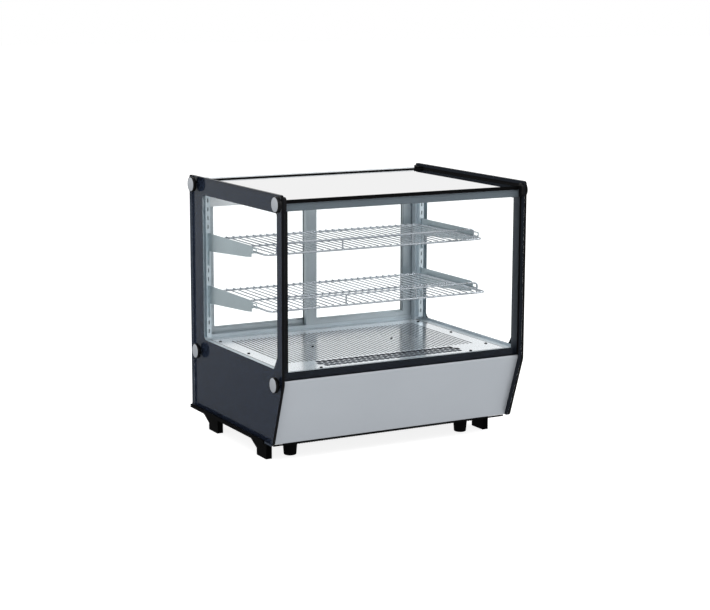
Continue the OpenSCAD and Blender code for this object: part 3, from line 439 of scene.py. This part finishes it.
def mm_box(node):
    low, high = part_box(node)
    return [c / MM for c in low], [c / MM for c in high]


# ------------------------------------------------------------------ pieces of the case

glass_low, glass_high = mm_box("side_glass_right")
FRONT = glass_low[1]
GLASS_OUT = glass_high[0]
GLASS_IN = glass_low[0]
ROOF = mm_box("top_glass")[1][2]
HEADER = mm_box("rear_header")[1][2]
PANE = mm_box("front_glass")[0][1]

# The service panel: its inner face behind the glass's front edge, and its thickness
PANEL_FACE = 537.5
PANEL_SHEET = 1.2
REAR_PANEL = FRONT + PANEL_FACE + PANEL_SHEET

CLAMP_R = 19.5
CLAMP_BORE_R = 4.3

# Distance behind the glass's front edge and height of each clamp, on either side
CLAMP_AT = [(17, 646.5), (508, 646.5), (31.5, 210.5), (493, 210.5)]

# Deck screws: distance from the middle and behind the front edge. Panel screws: x and height
DECK_SCREWS = ((300, 108), (300, 280), (300, 452), (215, 47.5), (117, 282))
PANEL_SCREWS = ((-326, 74), (-326, 206), (0, 212), (0, 68), (326, 74), (326, 206))


def facing(side, y, z):
    """The place of a part on a side glass, with its local Z pointing outwards."""
    turn = Matrix.Rotation(side * math.pi / 2, 4, "Y")
    return Matrix.Translation((side * GLASS_OUT, FRONT + y, z)) @ turn


def glass_clamps():
    """Turned knobs with a faced bright cap on the left, flat ones on the right."""
    bodies, caps = bmesh.new(), bmesh.new()
    left_out = -GLASS_OUT - cad_box[0][0] / MM
    outs = {-1: left_out, 1: mm_box("clamp_caps")[1][0] - GLASS_OUT}
    for side, out in outs.items():
        inset = min(2.2, out - 1.5)
        body = [
            (CLAMP_BORE_R, 0.2), (CLAMP_R - 1.6, 0.2), (CLAMP_R - 0.4, 0.5), (CLAMP_R, 1.3),
            (CLAMP_R, out - 1.2), (CLAMP_R - 0.3, out - 0.7), (CLAMP_R - 0.9, out - 0.3),
            (CLAMP_R - 1.6, out - 0.3), (CLAMP_R - 1.8, out - 0.5),
            (CLAMP_R - 1.8, out - inset), (CLAMP_BORE_R, out - inset), (CLAMP_BORE_R, 0.2),
        ]
        rim = CLAMP_R - 2
        cap = [
            (0, out - inset + 0.1), (rim, out - inset + 0.1), (rim, out - 0.7),
            (rim - 0.25, out - 0.35), (rim - 0.8, out - 0.1), (rim - 1.6, out), (0, out),
        ]
        for y, z in CLAMP_AT:
            lathe(bodies, body, facing(side, y, z))
            lathe(caps, cap, facing(side, y, z))
    new_piece("clamp_knobs", bodies, "black_clamp", instead_of=["clamp_bodies"])
    new_piece("clamp_faces", caps, "bright_knob", instead_of=["clamp_caps"])


def front_sheet():
    """The stainless front, with real bend radii at its folds."""
    low, high = mm_box("front_panel")
    kink = 213.8
    slope_run, slope_drop = 57, 162.2
    foot_y = PANE + (kink - low[2]) * slope_run / slope_drop
    bends = eased(
        [(PANE + 14, high[2]), (PANE, high[2]), (PANE, kink), (foot_y, low[2]), (foot_y + 18, low[2])],
        [2.6, 6.0, 2.6],
    )
    bm = bmesh.new()
    prism(bm, thickened(bends, -1.2), low[0], high[0])
    new_piece("front_sheet", bm, "stainless", instead_of=["front_panel"], smooth=25)


def roof_seals_and_painted_reflection():
    """Black rubber round the top glass: rear lip, side beads and edge strip, and header end caps: black
    wedges that are painted reflection of the side glasses' dark top strips.
    """
    bm = bmesh.new()
    rear = mm_box("top_glass")[1][1]
    inner = GLASS_IN - 0.5
    header_back = mm_box("rear_header")[1][1] - 0.4
    lip = [
        (rear - 3.0, ROOF), (rear - 2.6, ROOF + 0.8), (rear - 1.0, ROOF + 1.8), (rear - 0.6, ROOF + 2.9),
        (rear - 0.2, ROOF + 2.7), (rear + 0.5, ROOF + 2.7), (rear + 0.5, ROOF),
    ]
    prism(bm, lip, -inner, inner)
    for side in (-1, 1):
        bead = [
            (side * inner, ROOF), (side * (inner - 4.5), ROOF), (side * (inner - 2.2), ROOF + 1.0),
            (side * (inner - 0.8), ROOF + 2.6), (side * inner, ROOF + 4.4),
        ]
        prism(bm, bead, PANE + 1, rear - 0.7, axis=1)
        # Painted reflection: a black wedge on the header's top stands in for the mirror image of the side
        # glass's dark top strip
        cap = [
            (side * inner, rear + 0.1), (side * (inner - 29), rear + 0.1),
            (side * (inner - 2), header_back), (side * inner, header_back),
        ]
        prism(bm, cap, ROOF + 0.1, HEADER + 0.8, axis=2)
    bar(bm, (-inner, PANE - 0.45, ROOF - 9), (inner, PANE - 0.02, ROOF - 0.2), 0.15)
    new_piece("roof_seals_and_painted_reflection", bm, "foot_rubber")


def corner_beads():
    """Thin sealant lines where the front glass meets the side glasses."""
    bm = bmesh.new()
    low, high = mm_box("front_glass")
    for side in (-1, 1):
        inner = side * (GLASS_IN - 0.5)
        bead = [(inner, PANE - 2.2), (inner - side * 0.7, PANE - 0.9), (inner - side * 2.2, PANE - 0.1),
                (inner, PANE - 0.05)]
        prism(bm, bead, low[2] + 0.5, high[2], axis=2)
    new_piece("corner_beads", bm, "black_plastic")


def rear_trims():
    """Steel strips that cover the print between the windows and the rear posts."""
    bm = bmesh.new()
    bottom, top = 243.6, 646
    post_front = mm_box("rear_post_right")[0][1]
    for side in (-1, 1):
        edges = sorted((side * (GLASS_IN - 1.1), side * (GLASS_IN - 0.55)))
        bar(bm, (edges[0], post_front - 15.5, bottom), (edges[1], post_front - 0.3, top), 0.1)
    new_piece("rear_trims", bm, "galvanised")


def recessed_screw(bm, place, head=4.0, rise=2.0):
    """A pan head with a cross recess."""
    lathe(bm, [
        (0, -1.0), (1.9, -1.0), (1.9, 0.02), (head, 0.02), (head, 0.3), (head * 0.93, rise * 0.55),
        (head * 0.72, rise * 0.88), (head * 0.45, rise), (head * 0.42, rise - 0.05), (0, rise - 1.1),
    ], place, 28)
    for turn in (0, 90):
        spin = place @ Matrix.Rotation(math.radians(turn), 4, "Z")
        reach, half = head * 0.5, 0.42
        ridge = [(-reach, -half), (reach, -half), (reach, half), (-reach, half)]
        corners = [bm.verts.new(spin @ Vector((x, y, rise + 0.02))) for x, y in ridge]
        bm.faces.new(corners)


def machine_screws():
    """Deck screws, dark in their countersinks, and bright ones on the service panel."""
    deck_z = mm_box("deck_plate")[1][2]
    deck, rear = bmesh.new(), bmesh.new()
    for x, y in DECK_SCREWS:
        for side in (-1, 1):
            recessed_screw(deck, Matrix.Translation((side * x, FRONT + y, deck_z)))
    for x, z in PANEL_SCREWS:
        turn = Matrix.Rotation(-math.pi / 2, 4, "X")
        recessed_screw(rear, Matrix.Translation((x, REAR_PANEL, z)) @ turn)
    new_piece("deck_screws", deck, "black_coat", instead_of=["case_screws"])
    new_piece("panel_screws", rear, "zinc", instead_of=["case_screws"])


def outlet_duct():
    """The duct whose top closes against the deck's underside, below the air outlet, its dark slate colour
    painted shade.
    """
    bm = bmesh.new()
    under = mm_box("deck_plate")[1][2] - 1.3
    half, y0, y1 = 213, FRONT + 51, FRONT + 123
    bar(bm, (-half, y0, under - 4.5), (half, y1, under - 3.5), 0.2)
    for y in (y0, y1 - 1):
        bar(bm, (-half, y, under - 4), (half, y + 1, under - 0.1), 0.2)
    for x in (-half, half - 1):
        bar(bm, (x, y0, under - 4), (x + 1, y1, under - 0.1), 0.2)
    made = new_piece("outlet_duct", bm, "inner_steel")
    made.data.materials[0] = DUCT_PAINTED_SHADE


glass_clamps()
outlet_duct()
front_sheet()
roof_seals_and_painted_reflection()
corner_beads()
rear_trims()
machine_screws()


# ------------------------------------------------------------------ pieces of the doors and controls

def door_trim(side_name, body):
    """Glazing beads round a door's pane, and a black pile strip where the doors meet."""
    frame_low, frame_high = mm_box(f"door_{side_name}_frame")
    pane_low, pane_high = mm_box(f"door_{side_name}_glass")
    bead, pile = bmesh.new(), bmesh.new()
    overlap = 7.5
    x0, x1 = pane_low[0] + overlap, pane_high[0] - overlap
    z0, z1 = pane_low[2] + overlap, pane_high[2] - overlap
    for y in ((pane_high[1] + 0.1, pane_high[1] + 1.9), (pane_low[1] - 1.9, pane_low[1] - 0.1)):
        bar(bead, (x0 + 0.1, y[0], z0 + 0.1), (x1 - 0.1, y[1], z0 + 3), 0.5)
        bar(bead, (x0 + 0.1, y[0], z1 - 3), (x1 - 0.1, y[1], z1 - 0.1), 0.5)
        bar(bead, (x0 + 0.1, y[0], z0 + 3), (x0 + 3, y[1], z1 - 3), 0.5)
        bar(bead, (x1 - 3, y[0], z0 + 3), (x1 - 0.1, y[1], z1 - 3), 0.5)
    new_piece(f"door_{side_name}_bead", bead, "door_aluminium", body)
    inner = side_name == "left"
    face = frame_low[1] if inner else frame_high[1]
    y_out = (face - 0.8, face + 0.02) if inner else (face - 0.02, face + 0.8)
    x_meet = (frame_high[0] - 9, frame_high[0] - 4) if inner else (frame_low[0] + 4, frame_low[0] + 9)
    bar(pile, (x_meet[0], y_out[0], frame_low[2] + 4), (x_meet[1], y_out[1], frame_high[2] - 10), 0.2)
    new_piece(f"door_{side_name}_pile", pile, "black_plastic", body)


door_trim("left", "door_left")
door_trim("right", "door_right")


def rocker_marks():
    """One plain moulded bar on each rocker."""
    for body in ("light_rocker", "power_rocker"):
        low, high = mm_box(body)
        bm = bmesh.new()
        x = (low[0] + high[0]) / 2
        z = (low[2] + high[2]) / 2
        y = high[1] - 1.6
        bar(bm, (x - 0.4, y, z + 3.0), (x + 0.4, y + 1.2, z + 6.5), 0.1)
        new_piece(f"{body}_mark", bm, "lamp_diffuser", body)


def display_segments():
    """Three figure-eight digits of red bars on the display's window: a pattern, not a reading."""
    low, high = mm_box("display_window")
    bm = bmesh.new()
    width, height = high[0] - low[0], high[2] - low[2]
    y = high[1]
    digit_w, digit_h, line = width * 0.16, height * 0.52, 0.7
    middle = (low[2] + high[2]) / 2
    for i in range(3):
        x = low[0] + width * (0.22 + 0.28 * i)
        for z in (-0.5, 0, 0.5):
            bar(bm, (x - digit_w / 2, y - 0.1, middle + z * digit_h - line / 2),
                (x + digit_w / 2, y + 0.05, middle + z * digit_h + line / 2), 0)
        for dx in (-0.62, 0.62):
            for z in (-0.25, 0.25):
                bar(bm, (x + dx * digit_w - line / 2, y - 0.1, middle + (z - 0.18) * digit_h),
                    (x + dx * digit_w + line / 2, y + 0.05, middle + (z + 0.18) * digit_h), 0)
    new_piece("display_segments", bm, "rocker_red")


rocker_marks()
display_segments()


# ------------------------------------------------------------------ stage, light and camera

def stage_floor():
    size = 30.0
    mesh = bpy.data.meshes.new("floor")
    corners = [(-size, -size, 0), (size, -size, 0), (size, size, 0), (-size, size, 0)]
    mesh.from_pydata(corners, [], [(0, 1, 2, 3)])
    floor = bpy.data.objects.new("floor", mesh)
    bpy.context.scene.collection.objects.link(floor)
    look = Look("pale_floor", (0.4, 0.4, 0.4), 0.9, Emission_Strength=0.86, Specular_IOR_Level=0.0)
    look.shader.inputs["Emission Color"].default_value = (1, 1, 1, 1)
    look.feed(Base_Color=look.mixed(look.noise(3.0), (0.39, 0.39, 0.39), (0.41, 0.41, 0.41)))
    mesh.materials.append(look.material)
    floor.visible_glossy = False


def soft_world():
    """Light that depends on height only: what the glass and steel mirror."""
    world = bpy.data.worlds.new("studio")
    bpy.context.scene.world = world
    world.use_nodes = True
    tree = world.node_tree
    background = tree.nodes["Background"]
    coords = tree.nodes.new("ShaderNodeTexCoord")
    split = tree.nodes.new("ShaderNodeSeparateXYZ")
    ramp = tree.nodes.new("ShaderNodeValToRGB")
    shift = tree.nodes.new("ShaderNodeMapRange")
    shift.inputs["From Min"].default_value = -1.0
    shift.inputs["From Max"].default_value = 1.0
    tree.links.new(coords.outputs["Generated"], split.inputs[0])
    tree.links.new(split.outputs["Z"], shift.inputs["Value"])
    tree.links.new(shift.outputs[0], ramp.inputs[0])
    tree.links.new(ramp.outputs[0], background.inputs["Color"])
    stops = ramp.color_ramp.elements
    # Height of the direction, from straight down to straight up, and its brightness
    levels = [
        (-1.0, 0.60),
        (-0.68, 0.74),
        (-0.40, 0.60),
        (-0.24, 0.38),
        (-0.11, 0.78),
        (-0.06, 1.00),
        (0.35, 1.00),
        (1.0, 0.95),
    ]
    while len(stops) < len(levels):
        stops.new(0.5)
    for stop, (height, level) in zip(stops, levels):
        stop.position = (height + 1) / 2
        tint = 0 if height > -0.08 else 1
        stop.color = (level * (1 - 0.03 * tint), level * (1 - 0.01 * tint), level, 1)
    background.inputs["Strength"].default_value = 1.0


def area_light(name, place, aim, size, power):
    data = bpy.data.lights.new(name, "AREA")
    data.shape = "RECTANGLE"
    data.size, data.size_y = size
    data.energy = power
    lamp = bpy.data.objects.new(name, data)
    bpy.context.scene.collection.objects.link(lamp)
    lamp.location = place
    lamp.rotation_euler = (Vector(aim) - Vector(place)).to_track_quat("-Z", "Y").to_euler()
    return lamp


CAMERA_PLACE = (-2.1587, -3.9414, 1.1455)
CAMERA_YAW, CAMERA_PITCH, CAMERA_ROLL = 28.784, 10.207, 0.17
LENS_MM = 89.17


def set_camera():
    """The photograph's angle: from the front left, a little above."""
    data = bpy.data.cameras.new("camera")
    data.sensor_width = 36.0
    data.lens = LENS_MM
    data.clip_end = 100.0
    camera = bpy.data.objects.new("camera", data)
    bpy.context.scene.collection.objects.link(camera)
    yaw, pitch, roll = (math.radians(angle) for angle in (CAMERA_YAW, CAMERA_PITCH, CAMERA_ROLL))
    turn = (
        Matrix.Rotation(-yaw, 4, "Z")
        @ Matrix.Rotation(math.pi / 2 - pitch, 4, "X")
        @ Matrix.Rotation(roll, 4, "Z")
    )
    camera.matrix_world = Matrix.Translation(CAMERA_PLACE) @ turn
    bpy.context.scene.camera = camera


stage_floor()
soft_world()
centre = (cad_box[0] + cad_box[1]) / 2
area_light("key", (-1.6, -2.2, 2.6), centre, (1.8, 1.4), 45)
area_light("fill", (2.4, -1.6, 1.8), centre, (1.6, 1.6), 25)
area_light("top", (0.0, 0.6, 2.8), centre, (2.0, 2.0), 40).visible_glossy = False
set_camera()
bpy.context.scene.view_settings.view_transform = "Standard"
